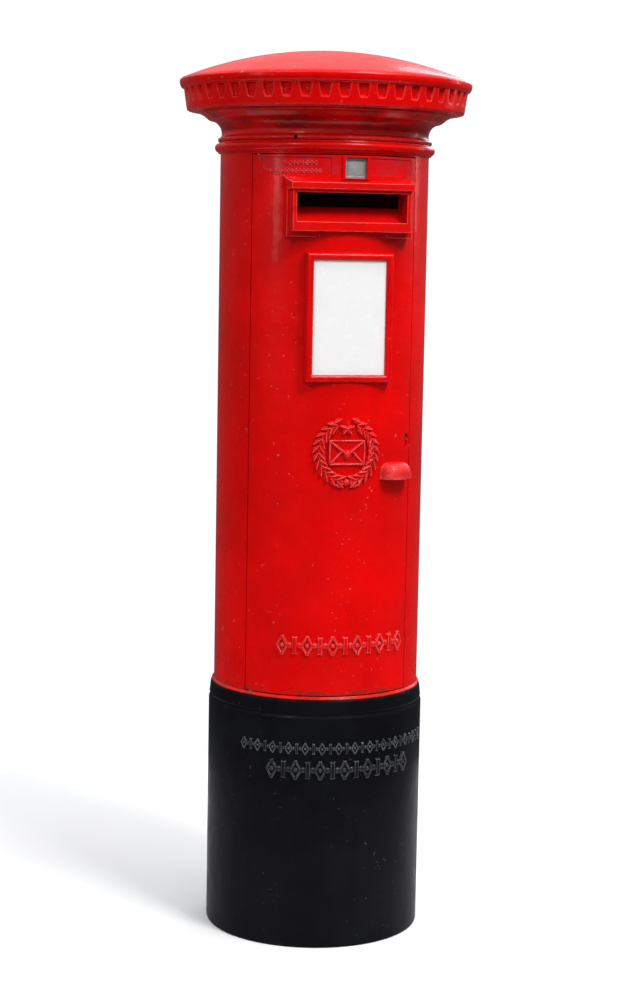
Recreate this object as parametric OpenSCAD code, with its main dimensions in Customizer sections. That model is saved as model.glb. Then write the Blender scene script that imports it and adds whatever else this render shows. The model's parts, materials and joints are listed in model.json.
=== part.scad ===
// Free-standing cast iron pillar mailbox with a hinged, locking front door.
// Millimetres. +Z is up, the door faces -Y, and the origin is the centre of the base.

/* [Body] */
// Outside diameter of the round body
body_d = 381; // [372:1:460]
// Wall of the body casting
body_wall = 15; // [13:0.5:18]
// Height of the body, from the plinth to the cap's seat
body_h = 992; // [900:1:1250]
// Thickness of the bolting flanges inside the castings
flange_t = 12; // [9:0.5:16]
// How far the inside flanges reach in from the body's wall
flange_w = 32; // [28:1:44]
// Diameter of the flange bolts
flange_bolt_d = 12; // [10:1:14]
// Number of bolts in each flange
flange_bolts = 6; // [4:1:8]

/* [Plinth] */
// Height of the plinth's skirt, under its collar
plinth_h = 434; // [300:1:560]
// How far the skirt stands out from the body
plinth_proud = 9.2; // [6:0.2:14]
// Wall of the plinth casting
plinth_wall = 16; // [12:0.5:20]
// Height of the collar that carries the body
collar_h = 25; // [20:1:36]
// Pitch circle of the ground anchor holes
anchor_pcd = 326; // [310:1:334]
// Diameter of a ground anchor hole
anchor_d = 18; // [12:1:22]
// Number of ground anchors
anchors = 4; // [4:1:4]

/* [Cap] */
// How far the cap's rim overhangs the body
cap_over = 76; // [64:1:96]
// Height of the neck, from the cap's seat to the soffit
neck_h = 57; // [48:1:70]
// Height of the fluted frieze
frieze_h = 39; // [34:1:50]
// Height of the rim above the frieze
rim_h = 17; // [12:1:24]
// Rise of the domed top
dome_rise = 54; // [36:1:80]
// Wall of the cap casting
cap_wall = 11; // [9:0.5:14]
// Number of flutes round the frieze
flutes = 48; // [24:2:48]
// Width of one flute
flute_w = 15.5; // [10:0.5:17]
// Depth of one flute
flute_deep = 6; // [3:0.5:7]

/* [Door] */
// Angle from the front to the door's hinge edge
hinge_angle = 56.6; // [52:0.2:64]
// Angle from the front to the door's lock edge
lock_angle = 43.6; // [43:0.2:56]
// Thickness of the door casting
door_t = 11; // [9:0.5:12]
// Width of the seam round the door
seam = 2; // [1.6:0.1:3]
// Strip of the body under the doorway
door_foot = 6; // [5:0.5:12]
// Part of the body above the doorway
door_head = 24; // [22:1:40]
// Depth of the rebate's stop behind the door
stop_t = 9; // [6:0.5:12]
// Width of the stop that the door's edges close on
stop_w = 8; // [6:0.5:9]
// Distance of the pivot from the door's hinge edge
pivot_in = 10; // [9:0.5:14]
// Diameter of the two pivot pins
pivot_d = 8; // [6:0.5:9]
// Depth of the pivot's axis under the outside face
pivot_deep = 6; // [5.5:0.1:6.2]

/* [Posting slot] */
// Width of the posting slot
slot_w = 200; // [170:1:206]
// Height of the posting slot
slot_h = 51; // [40:1:56]
// Distance from the doorway's top down to the slot's middle
slot_drop = 91.5; // [88:0.5:110]
// Distance of the surround's front face from the body's axis, past the body's face
slot_proud = 7.5; // [5:0.5:16]
// Thickness of the chute's steel plate
chute_t = 3; // [2:0.5:4]
// Depth of the chute behind the surround's face
chute_deep = 56; // [44:1:66]

/* [Notice] */
// Width of the opening in the notice frame
notice_w = 132; // [100:1:140]
// Height of the opening in the notice frame
notice_h = 201; // [150:1:205]
// Width of the notice frame's rails
notice_rail = 13; // [9:0.5:16]
// Distance from the doorway's top down to the notice's middle
notice_drop = 283.5; // [270:0.5:300]
// Thickness of the enamelled plate
plate_t = 2; // [1:0.5:3]

/* [Lock] */
// Distance of the key's axis from the door's lock edge
key_in = 10; // [9:0.5:12]
// Distance from the doorway's top down to the key's axis
key_drop = 498; // [480:1:560]
// Throw of the lock's bolt
bolt_throw = 12; // [8:0.5:14]
// Number of levers in the lock
levers = 4; // [3:1:5]
// Radial clearance of turning fits
fit = 0.06; // [0.03:0.01:0.1]
// Clearance between pieces that slide or swing past each other
gap = 0.3; // [0.2:0.05:0.5]

/* [Pull] */
// Width of the cup pull
pull_w = 66; // [50:1:70]
// Height of the cup pull
pull_h = 30; // [26:1:40]
// Wall of the cup pull
pull_wall = 4; // [3:0.5:6]
// Angle of the pull from the front
pull_angle = 30.5; // [24:0.5:31]
// Distance from the doorway's top down to the pull's middle
pull_drop = 556; // [545:1:640]

/* [Wire guard] */
// Diameter of the guard's rods
rod_d = 6; // [4:0.5:8]
// Number of upright rods
rods = 10; // [6:1:12]
// Height of the clear way under the guard, for taking letters out
clear_h = 330; // [250:5:420]

/* [Hidden] */
$fn = 96;

// Colours
paint_red = [0.78, 0.02, 0.02];
paint_black = [0.06, 0.06, 0.07];
enamel = [0.95, 0.95, 0.95];
zinc = [0.62, 0.64, 0.66];
brass = [0.72, 0.56, 0.28];
steel = [0.5, 0.5, 0.52];
ply = [0.62, 0.46, 0.3];

// Radii and levels of the castings
body_r = body_d / 2;
bore_r = body_r - body_wall;
flange_in = bore_r - flange_w;
bolt_ring = bore_r - flange_w * 0.62;
plinth_r = body_r + plinth_proud;
cap_r = body_r + cap_over;
body_z = plinth_h + collar_h;
cap_z = body_z + body_h;
soffit_z = cap_z + neck_h;
rim_z = soffit_z + frieze_h;
dome_z = rim_z + rim_h;
top_z = dome_z + dome_rise;
dome_r = (cap_r * cap_r + dome_rise * dome_rise) / (2 * dome_rise);
bolt_r = flange_bolt_d / 2;
bolt_head_r = flange_bolt_d * 0.85;
bolt_head_h = flange_bolt_d * 0.65;

// Doorway and door
way_z = body_z + door_foot;
way_top = cap_z - door_head;
seam_angle = seam / body_r * 90 / PI;
door_in = body_r - door_t;
stop_r = door_in - 1;
lining_in = stop_r - stop_t - 2;
stop_angle = stop_w / body_r * 180 / PI;
pivot_r = body_r - pivot_deep;
pivot_angle = -hinge_angle + (pivot_in + seam / 2) / body_r * 180 / PI;
bush_r = pivot_d / 2 + 1.2;
door_z0 = way_z + seam / 2;
door_z1 = way_top - seam / 2;

// Posting slot, surround and chute
slot_z = way_top - slot_drop;
slot_face = body_r + slot_proud;
slot_stile = 7;
slot_step = 17;
surround_w = slot_w + 2 * slot_stile + 14;
surround_top = slot_z + slot_h / 2 + 22;
surround_foot = slot_z - slot_h / 2 - 26;
hood_h = 16;
hood_over = 7;
chute_face = slot_face - slot_step + 3;
chute_back = slot_face - chute_deep;

// Notice
notice_z = way_top - notice_drop;
notice_face = body_r + 5;
window_w = notice_w + 10;
window_h = notice_h + 10;
plate_face = notice_face - 6;
backing_face = plate_face - plate_t;
button_t = 3.4;
button_face = door_in - 2.5;
button_l = 34;
button_w = 12;
stud_r = 3;
stud_off = window_h / 2 + 12;

// Tab over the slot
tab_w = 40;
tab_h = 37;
tab_x = 7;
tab_z = way_top - 23;
tab_rail = 5;
tab_face = body_r + 3;

// Lock, in the frame that lies square to the key's axis
key_z = way_top - key_drop;
key_angle = lock_angle - (key_in + seam / 2) / body_r * 180 / PI;
curtain_r = 6.5;
pad_face = door_in - 6.7;
case_deep = 20.8;
case_wall = 2.5;
case_x0 = -46;
case_x1 = 9.5;
case_h = 64;
case_back = pad_face - case_deep;
cover_t = 2;
lock_bolt_z = 7;
lock_bolt_h = 12;
lock_bolt_t = 8;
lock_bolt_face = pad_face - 6.8;
lever_t = 0.95;
lever_pitch = 1.2;
lever_face = case_back + 0.6 + levers * lever_pitch;
lever_x = -36;
lever_z = 12;
keeper_x0 = case_x1 + 2.5;
keeper_x1 = keeper_x0 + bolt_throw + 14;

// Pull and wire guard
pull_z = way_top - pull_drop;
pull_boss_x = pull_w / 2 - 11;
guard_r = flange_in - 4;
guard_z0 = way_z + clear_h;
guard_z1 = surround_foot - 30;
guard_a0 = -hinge_angle - 11;
guard_a1 = lock_angle + 14;
bracket_w = 16;

// Relief bands
relief = 3.2;
band_z = body_z + 81;
band_h = 34;
band_a0 = -36;
band_a1 = 38;

function chord(r, x) = sqrt(r * r - x * x);

// Turns what is drawn at the front round to an angle, toward +X
module around(angle) {
  rotate([0, 0, angle]) children();
}

// Part of a ring, between two radii, two angles and two levels
module sector(r0, r1, a0, a1, z0, z1) {
  rotate([0, 0, a0 - 90]) rotate_extrude(angle = a1 - a0)
    translate([r0, z0]) square([r1 - r0, z1 - z0]);
}

// Box given by its sides, its near and far distances from the axis, and its levels
module block(x0, x1, d0, d1, z0, z1) {
  translate([x0, -d1, z0]) cube([x1 - x0, d1 - d0, z1 - z0]);
}

// Outline of distances from the axis and heights, drawn out between two sides
module slab(x0, x1) {
  translate([x1, 0, 0]) rotate([90, 0, -90]) linear_extrude(x1 - x0) children();
}

// Upright outline, drawn out a thickness inward
module slab_y(t) {
  translate([0, t, 0]) rotate([90, 0, 0]) linear_extrude(t) children();
}

// Round bar along the radial direction, between two distances from the axis
module radial(x, z, d0, d1, r) {
  translate([x, -d0, z]) rotate([90, 0, 0]) cylinder(r = r, h = d1 - d0);
}

// Screw with a round head on its inner end
module radial_screw(x, z, d_tip, d_head, r) {
  radial(x, z, d_head, d_tip, r);
  radial(x, z, d_head - r * 1.1, d_head, r * 1.9);
}

module flange_ring(z0) {
  rotate_extrude() translate([flange_in, z0]) square([bore_r - flange_in + 1, flange_t]);
}

module flange_holes(z0, r) {
  for (i = [0 : flange_bolts - 1])
    around((i + 0.5) * 360 / flange_bolts)
      translate([0, -bolt_ring, z0]) cylinder(r = r, h = 2 * flange_t + 2);
}

// Raised bars and short blocks that alternate round a casting
module relief_band(r, a0, a1, z0, h, count) {
  pitch = (a1 - a0) / count;
  for (i = [0 : count - 1]) {
    middle = a0 + (i + 0.5) * pitch;
    rise = i % 2 == 0 ? h / 2 : h / 4;
    sector(r - 1, r + relief, middle - pitch * 0.32, middle + pitch * 0.32,
      z0 + h / 2 - rise, z0 + h / 2 + rise);
  }
}

module plinth() color(paint_black) {
  difference() {
    union() {
      rotate_extrude() polygon([
        [plinth_r - plinth_wall, 0], [plinth_r - 2, 0], [plinth_r, 2],
        [plinth_r, plinth_h - 9], [plinth_r - 2.5, plinth_h - 4], [plinth_r - 2.5, plinth_h],
        [plinth_r - 1.4, plinth_h + 2], [plinth_r - 3.6, body_z - 3], [plinth_r - 6, body_z],
        [bore_r - 4, body_z], [bore_r - 4, body_z - flange_t],
        [plinth_r - plinth_wall, body_z - flange_t - 8]
      ]);
      flange_ring(body_z - flange_t);
      rotate_extrude() translate([anchor_pcd / 2 - 17, 0])
        square([plinth_r - plinth_wall - anchor_pcd / 2 + 18, flange_t]);
    }
    flange_holes(body_z - flange_t - 1, bolt_r);
    for (i = [0 : anchors - 1])
      around((i + 0.5) * 360 / anchors)
        translate([0, -anchor_pcd / 2, -1]) cylinder(d = anchor_d, h = flange_t + 2);
  }
  relief_band(plinth_r, -56, 62, plinth_h - 74, 21, 34);
  relief_band(plinth_r, -40, 44, plinth_h - 120, 34, 18);
}

module base_flange_bolts() color(steel)
  for (i = [0 : flange_bolts - 1])
    around((i + 0.5) * 360 / flange_bolts) translate([0, -bolt_ring, body_z - flange_t]) {
      cylinder(r = bolt_r, h = 2 * flange_t - 2);
      translate([0, 0, -bolt_head_h]) cylinder(r = bolt_head_r, h = bolt_head_h, $fn = 6);
    }

module carcass_profile() {
  difference() {
    union() {
      translate([bore_r, body_z]) square([body_wall, body_h]);
      polygon([
        [body_r - 1, body_z], [body_r + 4, body_z], [body_r + 4, body_z + 1.5],
        [body_r + 1, body_z + 4], [body_r - 1, body_z + 5]
      ]);
      translate([body_r + 2, cap_z - 9]) circle(r = 8.5);
      translate([body_r - 1, cap_z - 19]) square([5.5, 3]);
      translate([body_r - 1, cap_z - 16]) square([3.5, 16]);
    }
    translate([0, cap_z]) square([2 * body_r, 20]);
  }
}

// Stop that the door closes on, left out round the lock's case
module door_lining() {
  difference() {
    sector(lining_in, bore_r + 1, -hinge_angle - 5, lock_angle + 5, body_z, cap_z - 1);
    around(key_angle) block(case_x0 - 6, keeper_x1 + 4, lining_in - 9, stop_r + 9,
      key_z - case_h / 2 - 8, key_z + case_h / 2 + 8);
  }
}

module carcass_shell() color(paint_red)
  difference() {
    union() {
      rotate_extrude() carcass_profile();
      flange_ring(body_z);
      flange_ring(cap_z - flange_t);
      door_lining();
    }
    sector(stop_r, body_r + 20, -hinge_angle - seam_angle, lock_angle + seam_angle,
      way_z - seam / 2, way_top + seam / 2);
    sector(lining_in - 1, stop_r + 1, -hinge_angle - seam_angle, lock_angle - stop_angle,
      way_z + stop_w, way_top - stop_w);
    // Room for the door's hinge edge to swing in
    sector(pivot_r - pivot_in - 2, stop_r + 0.5, -hinge_angle - seam_angle, pivot_angle + 3.5,
      way_z - seam / 2, way_top + seam / 2);
    // Room for the lock's case beside the doorway
    sector(bore_r - 1, body_r - 6, lock_angle - stop_angle - 1, lock_angle + 2.4,
      key_z - case_h / 2 - 5, key_z + case_h / 2 + 5);
    around(pivot_angle) translate([0, -pivot_r, body_z - 1]) cylinder(r = bush_r, h = cap_z - body_z - 4);
    flange_holes(body_z - flange_t - 1, bolt_r);
    flange_holes(cap_z - flange_t - 1, bolt_r);
    for (a = [45 : 90 : 315]) around(a) translate([0, -flange_in - 9, body_z - 1])
      cylinder(r = 2, h = flange_t + 2);
  }

module hinge_bushes() color(brass)
  around(pivot_angle) translate([0, -pivot_r, 0]) difference() {
    union() {
      translate([0, 0, body_z]) cylinder(r = bush_r, h = door_foot);
      translate([0, 0, way_z - seam / 2]) cylinder(r = bush_r, h = seam - gap);
      translate([0, 0, way_top + seam / 2]) cylinder(r = bush_r, h = 12);
    }
    translate([0, 0, body_z - 1]) cylinder(r = pivot_d / 2 + fit, h = body_h);
  }

module cap_profile() {
  difference() {
    union() {
      polygon([
        [flange_in, cap_z], [body_r, cap_z], [body_r - 1.5, cap_z + 16],
        [body_r - 1.5, cap_z + 18], [body_r + 22.5, cap_z + 40], [body_r + 38.5, soffit_z - 5],
        [body_r + 38.5, soffit_z], [cap_r - 14.5, soffit_z], [cap_r - 13.5, soffit_z + 2],
        [cap_r - 8.5, rim_z - 2], [cap_r - 7.5, rim_z], [cap_r - 2.5, rim_z + 3],
        [cap_r, rim_z + 9], [cap_r, dome_z], [0, dome_z], [0, cap_z + flange_t],
        [flange_in, cap_z + flange_t]
      ]);
      translate([body_r + 0.5, cap_z + 4.5]) circle(r = 4.5);
      intersection() {
        translate([0, top_z - dome_r]) circle(r = dome_r, $fn = 256);
        translate([0, dome_z - 1]) square([cap_r, dome_rise + 2]);
      }
    }
    translate([body_r + 22.5, cap_z + 16]) circle(r = 24);
    translate([0, cap_z + flange_t]) square([bore_r, neck_h - flange_t - 7]);
    polygon([
      [0, soffit_z - 8], [bore_r, soffit_z - 8], [cap_r - 28, soffit_z + 10],
      [cap_r - 22, rim_z + 6], [0, rim_z + 6]
    ]);
    intersection() {
      translate([0, top_z - dome_r]) circle(r = dome_r - cap_wall, $fn = 256);
      translate([-1, rim_z + 5]) square([cap_r - 21, dome_rise + 30]);
    }
    translate([-dome_r, -dome_r]) square([dome_r, 4 * dome_r]);
  }
}

module flute() {
  slab(-flute_w / 2, flute_w / 2) polygon([
    [cap_r + 4, soffit_z + 9], [cap_r - 10, soffit_z + 10],
    [cap_r - 10 - flute_deep, soffit_z + 14], [cap_r - 9 - flute_deep, rim_z - 1],
    [cap_r + 4, rim_z - 1]
  ]);
}

module cap() color(paint_red)
  difference() {
    rotate_extrude($fn = 180) cap_profile();
    for (i = [0 : flutes - 1]) around(i * 360 / flutes) flute();
    flange_holes(cap_z - flange_t - 1, bolt_r);
    for (a = [-30 : 120 : 210]) around(a) radial(0, cap_z + 5, bore_r - 8, body_r + 9, 2.5);
  }

module cap_flange_bolts() color(steel)
  for (i = [0 : flange_bolts - 1])
    around((i + 0.5) * 360 / flange_bolts) translate([0, -bolt_ring, cap_z - flange_t]) {
      cylinder(r = bolt_r, h = 3 * flange_t);
      translate([0, 0, -bolt_head_h]) cylinder(r = bolt_head_r, h = bolt_head_h, $fn = 6);
    }

module cap_flange_nuts() color(steel)
  for (i = [0 : flange_bolts - 1])
    around((i + 0.5) * 360 / flange_bolts) translate([0, -bolt_ring, cap_z + flange_t])
      difference() {
        cylinder(r = bolt_head_r, h = flange_t * 0.8, $fn = 6);
        translate([0, 0, -1]) cylinder(r = bolt_r, h = flange_t + 2);
      }

module cap_set_screws() color(paint_red)
  for (a = [-30 : 120 : 210]) around(a) radial(0, cap_z + 5, bore_r + 2, body_r + 5.2, 2.5);

module letter_floor() color(zinc)
  difference() {
    translate([0, 0, body_z + flange_t]) cylinder(r = lining_in - 0.5, h = 4);
    for (a = [45 : 90 : 315]) around(a) translate([0, -flange_in - 9, body_z]) cylinder(r = 2, h = 40);
  }

module floor_screws() color(steel)
  for (a = [45 : 90 : 315]) around(a) translate([0, -flange_in - 9, body_z + 3]) {
    cylinder(r = 2, h = flange_t + 1);
    translate([0, 0, flange_t + 1]) cylinder(r = 4, h = 3);
  }

module guard_rail(z) {
  rotate([0, 0, guard_a0 - 90]) rotate_extrude(angle = guard_a1 - guard_a0)
    translate([guard_r, z]) circle(d = rod_d);
}

module guard_rails() color(zinc)
  for (i = [0 : 2]) guard_rail(guard_z0 + i * (guard_z1 - guard_z0) / 2);

module guard_rods() color(zinc)
  for (i = [0 : rods - 1])
    around(guard_a0 + 12 + i * (guard_a1 - guard_a0 - 24) / (rods - 1))
      translate([0, -guard_r + rod_d, guard_z0 - 12]) cylinder(d = rod_d, h = guard_z1 - guard_z0 + 24);

module guard_brackets() color(zinc)
  for (a = [guard_a0 + 2, guard_a1 - 2], z = [guard_z0, guard_z1])
    around(a) intersection() {
      difference() {
        block(-bracket_w / 2, bracket_w / 2, guard_r - rod_d, body_r, z - 7, z + 7);
        guard_clamp(z);
        radial(0, z, guard_r, body_r, 2.5);
      }
      cylinder(r = bore_r, h = top_z);
    }

// The bracket's seat round the end of a rail
module guard_clamp(z) {
  rotate_extrude() translate([guard_r, z]) circle(d = rod_d);
}

module guard_screws() color(steel)
  for (a = [guard_a0 + 2, guard_a1 - 2], z = [guard_z0, guard_z1])
    around(a) radial(0, z, guard_r + rod_d / 2 + 1, bore_r, 2.5);

module keyhole(d0, d1) {
  radial(0, key_z, d0, d1, 5.5);
  block(-2.2, 2.2, d0, d1, key_z - 18, key_z);
}

module door_panel() color(paint_red)
  difference() {
    union() {
      sector(door_in, body_r, -hinge_angle + seam_angle, lock_angle - seam_angle, door_z0, door_z1);
      sector(door_in - 4, door_in + 1, pivot_angle - 1.3, pivot_angle + 3,
        way_z + stop_w + 1, way_top - stop_w - 1);
      around(key_angle) intersection() {
        block(case_x0 - 2, case_x1, pad_face, body_r, key_z - case_h / 2 - 3, key_z + case_h / 2 + 3);
        cylinder(r = body_r - 2, h = top_z);
      }
      for (z = [notice_z - stud_off, notice_z + stud_off])
        radial(0, z, button_face + 0.5, body_r - 3, 7);
      relief_band(body_r, band_a0, band_a1, band_z, band_h, 15);
    }
    block(-window_w / 2, window_w / 2, 0, body_r + 9, notice_z - window_h / 2, notice_z + window_h / 2);
    block(-slot_w / 2 - chute_t - 1, slot_w / 2 + chute_t + 1, 0, body_r + 9,
      slot_z - slot_h / 2 - chute_t - 1, slot_z + slot_h / 2 + chute_t + 1);
    block(tab_x - tab_w / 2, tab_x + tab_w / 2, 0, body_r + 9, tab_z - tab_h / 2, tab_z + tab_h / 2);
    for (z = [door_z0 - 1, door_z1 - 24])
      around(pivot_angle) translate([0, -pivot_r, z]) cylinder(d = pivot_d, h = 25);
    for (z = [notice_z - stud_off, notice_z + stud_off]) radial(0, z, button_face - 3, body_r - 4, stud_r);
    chute_screw_holes();
    around(key_angle) keyhole(body_r - 3.5, body_r + 3);
    around(key_angle) radial(0, key_z, pad_face - 1, body_r - 3, curtain_r + fit);
    around(key_angle) lock_corners() radial(0, 0, pad_face - 1, pad_face + 7, 2);
    around(pull_angle) for (x = [-pull_boss_x, pull_boss_x]) radial(x, pull_z, 0, body_r + 9, 2.5);
    for (x = [-1, 1], z = [-1, 1])
      radial(x * (notice_w / 2 - 8), notice_z + z * (window_h / 2 + 3.2), 0, body_r + 9, 1.5);
    for (x = [-1, 1]) radial(x * 60, surround_foot + 16.5, 0, body_r + 9, 2.5);
    for (x = [-1, 1]) radial(x * 60, surround_top - 8, 0, body_r + 9, 2.5);
    for (x = [-1, 1]) radial(tab_x + x * (tab_w / 2 + 6), tab_z - 9, 0, door_in + 3, 1.5);
  }

module pivot_pins() color(steel) {
  around(pivot_angle) translate([0, -pivot_r, body_z + 0.5]) cylinder(d = pivot_d, h = door_foot + 24);
  around(pivot_angle) translate([0, -pivot_r, door_z1 - 24]) cylinder(d = pivot_d, h = 24 + seam + 10);
}

module slot_hole(d0, d1, grow) {
  block(-slot_w / 2 - grow, slot_w / 2 + grow, d0, d1,
    slot_z - slot_h / 2 - grow, slot_z + slot_h / 2 + grow);
}

// The hood's section, from the door's face out over the slot
module hood_section() {
  polygon([
    [0, surround_top - hood_h], [slot_face + hood_over - 4, surround_top - hood_h],
    [slot_face + hood_over, surround_top - hood_h + 1], [slot_face + hood_over, surround_top - 5],
    [slot_face + hood_over - 3, surround_top - 2], [body_r - 30, surround_top + 8],
    [0, surround_top + 8]
  ]);
}

module aperture_surround() color(paint_red)
  difference() {
    union() {
      block(-surround_w / 2, surround_w / 2, 100, slot_face - slot_step, surround_foot,
        surround_top - hood_h + 2);
      block(-slot_w / 2 - slot_stile, slot_w / 2 + slot_stile, 100, slot_face,
        slot_z - slot_h / 2 - 16, surround_top - hood_h + 2);
      slab(-surround_w / 2, surround_w / 2) hood_section();
    }
    cylinder(r = body_r, h = top_z);
    slot_hole(0, 400, 0);
    slot_hole(0, chute_face, chute_t);
    chute_screw_holes();
    for (x = [-1, 1]) radial(x * 60, surround_foot + 16.5, 0, body_r + 2, 2.5);
    for (x = [-1, 1]) radial(x * 60, surround_top - 8, 0, body_r + 2, 2.5);
  }

module surround_screws() color(steel)
  for (x = [-60, 60], z = [surround_foot + 16.5, surround_top - 8])
    radial_screw(x, z, body_r + 2, chord(door_in, abs(x) + 5) - gap / 2, 2.5);

module posting_chute() color(paint_red)
  difference() {
    union() {
      for (x = [-slot_w / 2 - chute_t, slot_w / 2])
        block(x, x + chute_t, chute_back, chute_face, slot_z - slot_h / 2 - chute_t,
          slot_z + slot_h / 2 + chute_t);
      block(-slot_w / 2 - 1, slot_w / 2 + 1, chute_back + 8, chute_face, slot_z + slot_h / 2,
        slot_z + slot_h / 2 + chute_t);
      slab(-slot_w / 2 - 1, slot_w / 2 + 1) polygon([
        [chute_face, slot_z - slot_h / 2 - chute_t], [chute_face, slot_z - slot_h / 2],
        [chute_back, slot_z + 1], [chute_back, slot_z + 1 - chute_t]
      ]);
    }
    chute_screw_holes();
  }

module chute_screw_holes() {
  for (x = [-70, 70]) translate([x, -chute_face + 7, slot_z]) cylinder(r = 2, h = slot_h / 2 + chute_t + 6);
}

module chute_screws() color(steel)
  for (x = [-70, 70]) translate([x, -chute_face + 7, slot_z + slot_h / 2]) {
    cylinder(r = 2, h = chute_t + 6);
    translate([0, 0, -1.8]) cylinder(r = 3.8, h = 1.8);
  }

module notice_frame() color(paint_red)
  difference() {
    block(-notice_w / 2 - notice_rail, notice_w / 2 + notice_rail, 100, notice_face,
      notice_z - notice_h / 2 - notice_rail, notice_z + notice_h / 2 + notice_rail);
    cylinder(r = body_r, h = top_z);
    block(-notice_w / 2, notice_w / 2, 0, 400, notice_z - notice_h / 2, notice_z + notice_h / 2);
    block(-window_w / 2, window_w / 2, 0, plate_face, notice_z - window_h / 2, notice_z + window_h / 2);
    for (x = [-1, 1], z = [-1, 1])
      radial(x * (notice_w / 2 - 8), notice_z + z * (window_h / 2 + 3.2), 0, body_r + 1.5, 1.5);
  }

module notice_frame_screws() color(steel)
  for (x = [-1, 1], z = [-1, 1])
    radial_screw(x * (notice_w / 2 - 8), notice_z + z * (window_h / 2 + 3.2), body_r + 1.5,
      chord(door_in, notice_w / 2 - 5) - gap / 2, 1.5);

module notice_plate() color(enamel)
  block(-window_w / 2 + 1, window_w / 2 - 1, plate_face - plate_t, plate_face,
    notice_z - window_h / 2 + 1, notice_z + window_h / 2 - 1);

module notice_backing() color(ply)
  block(-window_w / 2 + 1, window_w / 2 - 1, button_face, backing_face,
    notice_z - window_h / 2 + 1, notice_z + window_h / 2 - 1);

module button_studs() color(brass)
  for (z = [notice_z - stud_off, notice_z + stud_off]) {
    radial(0, z, button_face - button_t - 2 * gap, body_r - 4, stud_r);
    radial(0, z, button_face - button_t - 2 * gap - 2.5, button_face - button_t - 2 * gap, 6);
  }

module turn_button(z, side) color(brass)
  difference() {
    union() {
      radial(0, z, button_face - button_t - gap, button_face - gap, button_w / 2);
      block(-button_w / 2, button_w / 2, button_face - button_t - gap, button_face - gap,
        min(z, z + side * (button_l - 12)), max(z, z + side * (button_l - 12)));
      radial(0, z + side * (button_l - 12), button_face - button_t - gap, button_face - gap, button_w / 2);
    }
    radial(0, z, 0, body_r, stud_r + fit);
  }

module upper_turn_button() turn_button(notice_z + stud_off, -1);

module lower_turn_button() turn_button(notice_z - stud_off, 1);

module tab_frame() color(paint_red)
  difference() {
    block(tab_x - tab_w / 2 - tab_rail, tab_x + tab_w / 2 + tab_rail, 150, tab_face,
      tab_z - tab_h / 2 - 1, tab_z + tab_h / 2 + 2);
    cylinder(r = body_r, h = top_z, $fn = 256);
    block(tab_x - tab_w / 2 + 0.5, tab_x + tab_w / 2 - 0.5, 0, 400,
      tab_z - tab_h / 2 + 0.5, tab_z + tab_h / 2 - 0.5);
  }

module tab_plate() color(zinc)
  translate([tab_x, 0, tab_z]) difference() {
    block(-tab_w / 2 + 0.3, tab_w / 2 - 0.3, body_r - 6, body_r - 3.6, -tab_h / 2 + 0.3, tab_h / 2 - 0.3);
    difference() {
      block(-tab_w / 2 + 5, tab_w / 2 - 5, body_r - 4.1, body_r, -tab_h / 2 + 5, tab_h / 2 - 5);
      block(-tab_w / 2 + 6, tab_w / 2 - 6, 0, body_r + 1, -tab_h / 2 + 6, tab_h / 2 - 6);
    }
  }

// Sprung strip that bridges the back of the tab plate
module tab_clip() color(steel)
  difference() {
    translate([tab_x, 0, tab_z]) {
      block(-tab_w / 2 - 12, tab_w / 2 + 12, door_in - 7, door_in - 5.5, -14, -4);
      block(-tab_w / 2 + 3, -tab_w / 2 + 4.5, door_in - 6, body_r - 6, -14, -4);
      block(tab_w / 2 - 4.5, tab_w / 2 - 3, door_in - 6, body_r - 6, -14, -4);
    }
    for (x = [-1, 1]) radial(tab_x + x * (tab_w / 2 + 6), tab_z - 9, 0, body_r, 1.5);
  }

module tab_clip_screws() color(steel)
  for (x = [-1, 1]) {
    radial(tab_x + x * (tab_w / 2 + 6), tab_z - 9, door_in - 7, door_in + 3, 1.5);
    radial(tab_x + x * (tab_w / 2 + 6), tab_z - 9, door_in - 9, door_in - 7, 3);
  }

// The pull's round outline, rolled over at the top, shrunk by a wall's thickness
module pull_form(inset) {
  intersection() {
    translate([0, -body_r + 2, pull_z - pull_h / 2 - 1])
      cylinder(r = pull_w / 2 - inset, h = pull_h + 1 - inset);
    translate([0, -body_r + 2, pull_z - pull_h / 2])
      sphere(r = sqrt(pull_boss_x * pull_boss_x + pull_h * pull_h) - inset);
  }
}

module door_pull() color(paint_red)
  around(pull_angle) difference() {
    union() {
      difference() {
        pull_form(0);
        pull_form(pull_wall);
        translate([-pull_w, -2 * body_r, 0]) cube([2 * pull_w, 2 * body_r, pull_z - pull_h / 2]);
      }
      intersection() {
        pull_form(1);
        for (x = [-pull_boss_x, pull_boss_x]) radial(x, pull_z, 160, body_r + 12, 6);
      }
    }
    cylinder(r = body_r, h = top_z);
    for (x = [-pull_boss_x, pull_boss_x]) radial(x, pull_z, 0, body_r + 9, 2.5);
  }

module pull_screws() color(steel)
  around(pull_angle) for (x = [-pull_boss_x, pull_boss_x])
    radial_screw(x, pull_z, body_r + 9, chord(door_in, pull_boss_x + 5) - gap / 2, 2.5);

// Letter in a laurel ring, in low relief
module emblem_badge() color(paint_red)
  intersection() {
    translate([0, 0, notice_z - 238]) union() {
      difference() {
        radial(0, 0, body_r - 40, body_r + 30, 64);
        radial(0, 0, body_r - 50, body_r + 40, 54);
      }
      block(-36, 36, body_r - 40, body_r + 30, -23, 23);
      block(-9, 9, body_r - 40, body_r + 30, -60, -20);
      block(-9, 9, body_r - 40, body_r + 30, 20, 60);
    }
    rotate_extrude() translate([body_r, body_z]) square([4, body_h]);
  }

module lock_corners() {
  for (x = [case_x0 + 4.5, case_x1 - 4.5], z = [-case_h / 2 + 4.5, case_h / 2 - 4.5])
    translate([x, 0, key_z + z]) children();
}

module lock_bolt_way(x0, x1, grow) {
  block(x0, x1, lock_bolt_face - lock_bolt_t - grow, lock_bolt_face + grow,
    key_z + lock_bolt_z - grow, key_z + lock_bolt_z + lock_bolt_h + grow);
}

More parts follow.
